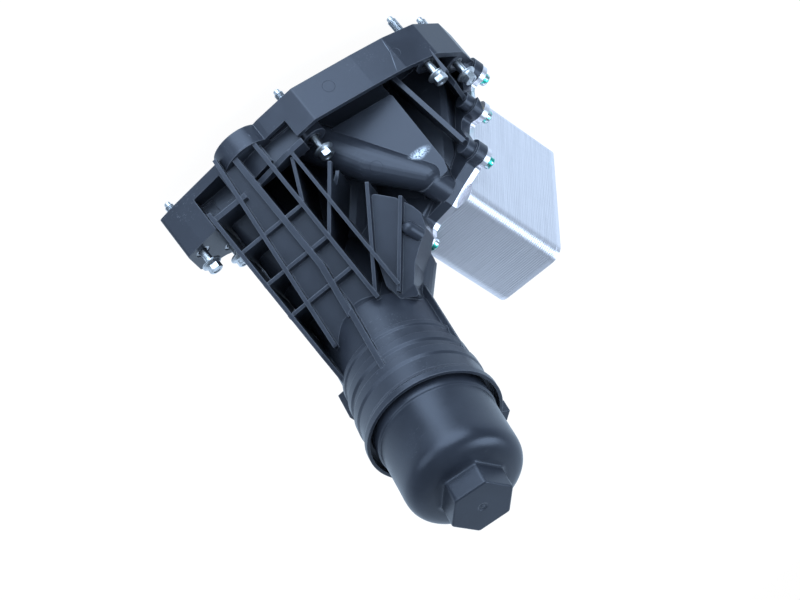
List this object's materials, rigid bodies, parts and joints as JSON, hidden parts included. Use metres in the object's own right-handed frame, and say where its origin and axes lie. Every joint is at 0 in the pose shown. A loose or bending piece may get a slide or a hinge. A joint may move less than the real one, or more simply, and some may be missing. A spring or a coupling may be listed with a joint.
{
  "type": "oil filter module",
  "caption": "Moulded oil filter module: ribbed housing on a bolted flange, leaning bowl with a screw cap and replaceable element, and a plate oil cooler on a side pad.",
  "frame": {"origin": "centre of the locating hole in the sealing face, beside the front bolt", "axes": "+Z out of the sealing face toward the bolt heads; -Y is the side with the rib lattice, toward the bowl's mouth; +X runs toward the end with the tall arm"},
  "size_m": [0.2264, 0.2056, 0.2988],
  "materials": {
    "housing_plastic": "satin moulded",
    "cap_plastic": "satin moulded",
    "inner_plastic": "moulded",
    "rubber": "smooth",
    "filter_paper": "pleated paper",
    "steel": "satin",
    "brass": "satin",
    "cooler_aluminium": "brazed, satin",
    "zinc_steel": "bright zinc"
  },
  "bodies": {
    "module": {"housing": "housing_plastic", "standpipe": "inner_plastic", "bypass_seat": "steel", "bypass_spring": "steel", "bypass_retainer": "steel", "cooler_base_plate": "cooler_aluminium", "cooler_core": "cooler_aluminium", "cooler_end_plate": "cooler_aluminium", "cooler_seals": "rubber", "cooler_screws": "zinc_steel", "cooler_inserts": "brass", "flange_bolts": "zinc_steel", "bolt_sleeves": "steel", "flange_seal": "rubber"},
    "element": {"element_media": "filter_paper", "element_core": "inner_plastic", "element_top_cap": "inner_plastic", "element_base_cap": "inner_plastic", "element_seal": "rubber", "drain_pin_seals": "rubber"},
    "cap": {"filter_cap": "cap_plastic", "cap_seal": "rubber"},
    "bypass": {"bypass_poppet": "brass"}
  },
  "joints": [
    {"name": "element_lift", "type": "slide", "parent": "module", "child": "element", "axis": [0.0821, -0.4226, 0.9026], "range_m": [0, 0.016]},
    {"name": "cap_turn", "type": "hinge", "parent": "element", "child": "cap", "pos_m": [0.048, -0.02333, 0.25272], "axis": [0.0821, -0.4226, 0.9026], "range_deg": [0, 1440]},
    {"name": "bypass_open", "type": "slide", "parent": "module", "child": "bypass", "axis": [-0.0821, 0.4226, -0.9026], "range_m": [0, 0.004], "stiffness_N_per_m": 1500, "springref_m": -0.004, "deforming": ["bypass_spring"]}
  ],
  "couplings": [
    {"joint": "element_lift", "follows": "cap_turn", "m_per_rad": 0.00063662}
  ]
}
